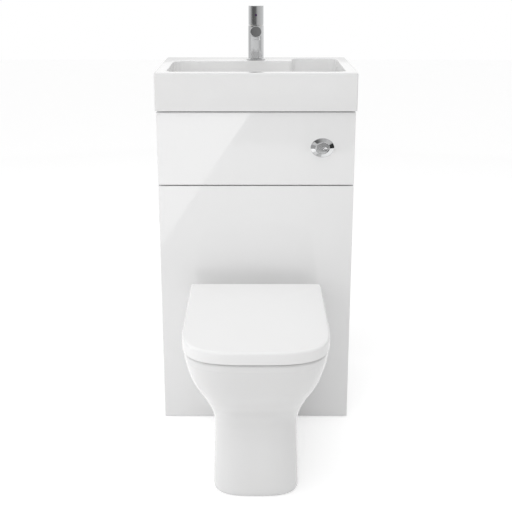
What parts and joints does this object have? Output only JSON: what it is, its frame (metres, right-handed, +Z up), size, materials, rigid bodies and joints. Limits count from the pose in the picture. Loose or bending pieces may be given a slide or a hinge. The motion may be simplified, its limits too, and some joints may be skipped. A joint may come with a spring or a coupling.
{
  "type": "toilet and basin combination unit",
  "caption": "Narrow white cabinet with a basin and mixer tap on top, a hidden cistern with a dual flush button, and a back-to-wall pan with a hinged seat and lid in front.",
  "frame": {"origin": "on the floor, in the middle of the overall width and of the overall depth from the wall to the front of the seat", "axes": "+X to the right as a user faces the unit, front towards -Y, wall plane at +Y, +Z up"},
  "size_m": [0.506, 0.83, 1.092],
  "materials": {
    "white_panel": "high-gloss white lacquer on fibreboard",
    "carcass_board": "white melamine-faced board",
    "beech": "turned beech dowel",
    "ceramic": "glazed white vitreous china",
    "seat_plastic": "polished white thermoset",
    "chrome": "polished chrome plate",
    "steel": "zinc-plated steel",
    "brass": "machined brass",
    "white_fitting": "moulded white polypropylene",
    "grey_fitting": "moulded grey plastic",
    "blue_fitting": "moulded blue plastic",
    "orange_fitting": "moulded orange plastic",
    "rubber": "black rubber",
    "indicator": "glossy dark dot, neither red nor blue"
  },
  "bodies": {
    "root": {"side_panel_left": "white_panel", "side_panel_right": "white_panel", "top_front_rail": "carcass_board", "top_back_rail": "carcass_board", "middle_rail": "carcass_board", "bottom_front_rail": "carcass_board", "bottom_back_rail": "carcass_board", "cistern_shelf": "carcass_board", "wooden_dowels": "beech", "upper_panel": "white_panel", "lower_panel": "white_panel", "panel_studs": "steel", "wall_brackets": "steel", "bracket_screws": "steel", "basin": "ceramic", "overflow_ring": "chrome", "waste_body": "chrome", "waste_seal": "rubber", "waste_nut": "chrome", "trap_nut": "white_fitting", "trap_body": "white_fitting", "trap_cup": "white_fitting", "waste_pipe": "white_fitting", "tap_body": "chrome", "tap_base_ring": "chrome", "tap_cartridge": "white_fitting", "cartridge_nut": "brass", "aerator": "chrome", "tap_stud": "steel", "tap_clamp": "steel", "cistern_tank": "white_fitting", "cistern_lid": "white_fitting", "fill_valve": "white_fitting", "flush_valve": "white_fitting", "outlet_nut": "white_fitting", "flush_pipe": "white_fitting", "flush_seal": "rubber", "flush_cable": "grey_fitting", "flush_bezel": "chrome", "bezel_nut": "white_fitting", "cable_housing": "grey_fitting", "pan": "ceramic", "floor_brackets": "steel", "side_screws": "chrome", "hinge_posts": "chrome", "wing_nuts": "white_fitting"},
    "waste_plug": {"waste_plug": "chrome"},
    "tap_turn": {"cartridge_turret": "grey_fitting"},
    "tap_lift": {"lever_stem": "steel", "tap_handle": "chrome", "handle_dot": "indicator"},
    "fill_float": {"fill_float": "blue_fitting"},
    "lift_tube": {"lift_tube": "blue_fitting"},
    "half_flush": {"half_flush_slider": "orange_fitting"},
    "full_button": {"full_button": "chrome"},
    "half_button": {"half_button": "chrome"},
    "seat_ring": {"seat_ring": "seat_plastic", "ring_bumpers": "white_fitting"},
    "seat_lid": {"seat_lid": "seat_plastic"}
  },
  "joints": [
    {"name": "waste_plug_lift", "type": "slide", "parent": "root", "child": "waste_plug", "axis": [0, 0, 1], "range_m": [0, 0.008]},
    {"name": "tap_turn", "type": "hinge", "parent": "root", "child": "tap_turn", "pos_m": [0, 0.363, 0.945], "axis": [0, 0, 1], "range_deg": [-45, 45]},
    {"name": "tap_lift", "type": "hinge", "parent": "tap_turn", "child": "tap_lift", "pos_m": [0, 0.363, 1.034], "axis": [-1, 0, 0], "range_deg": [0, 20]},
    {"name": "float_rise", "type": "slide", "parent": "root", "child": "fill_float", "axis": [0, 0, 1], "range_m": [0, 0.02]},
    {"name": "full_flush", "type": "slide", "parent": "root", "child": "full_button", "axis": [0, 1, 0], "range_m": [0, 0.005], "stiffness_N_per_m": 600, "springref_m": -0.003},
    {"name": "half_flush", "type": "slide", "parent": "root", "child": "half_button", "axis": [0, 1, 0], "range_m": [0, 0.005], "stiffness_N_per_m": 600, "springref_m": -0.003},
    {"name": "valve_lift", "type": "slide", "parent": "root", "child": "lift_tube", "axis": [0, 0, 1], "range_m": [0, 0.02]},
    {"name": "slider_lift", "type": "slide", "parent": "root", "child": "half_flush", "axis": [0, 0, 1], "range_m": [0, 0.01]},
    {"name": "seat_hinge", "type": "hinge", "parent": "root", "child": "seat_ring", "pos_m": [0, -0.009, 0.4], "axis": [1, 0, 0], "range_deg": [-95, 0]},
    {"name": "lid_hinge", "type": "hinge", "parent": "seat_ring", "child": "seat_lid", "pos_m": [0, -0.009, 0.4], "axis": [-1, 0, 0], "range_deg": [0, 95]}
  ],
  "couplings": [
    {"joint": "valve_lift", "follows": "full_flush", "ratio": 4},
    {"joint": "slider_lift", "follows": "half_flush", "ratio": 2}
  ]
}
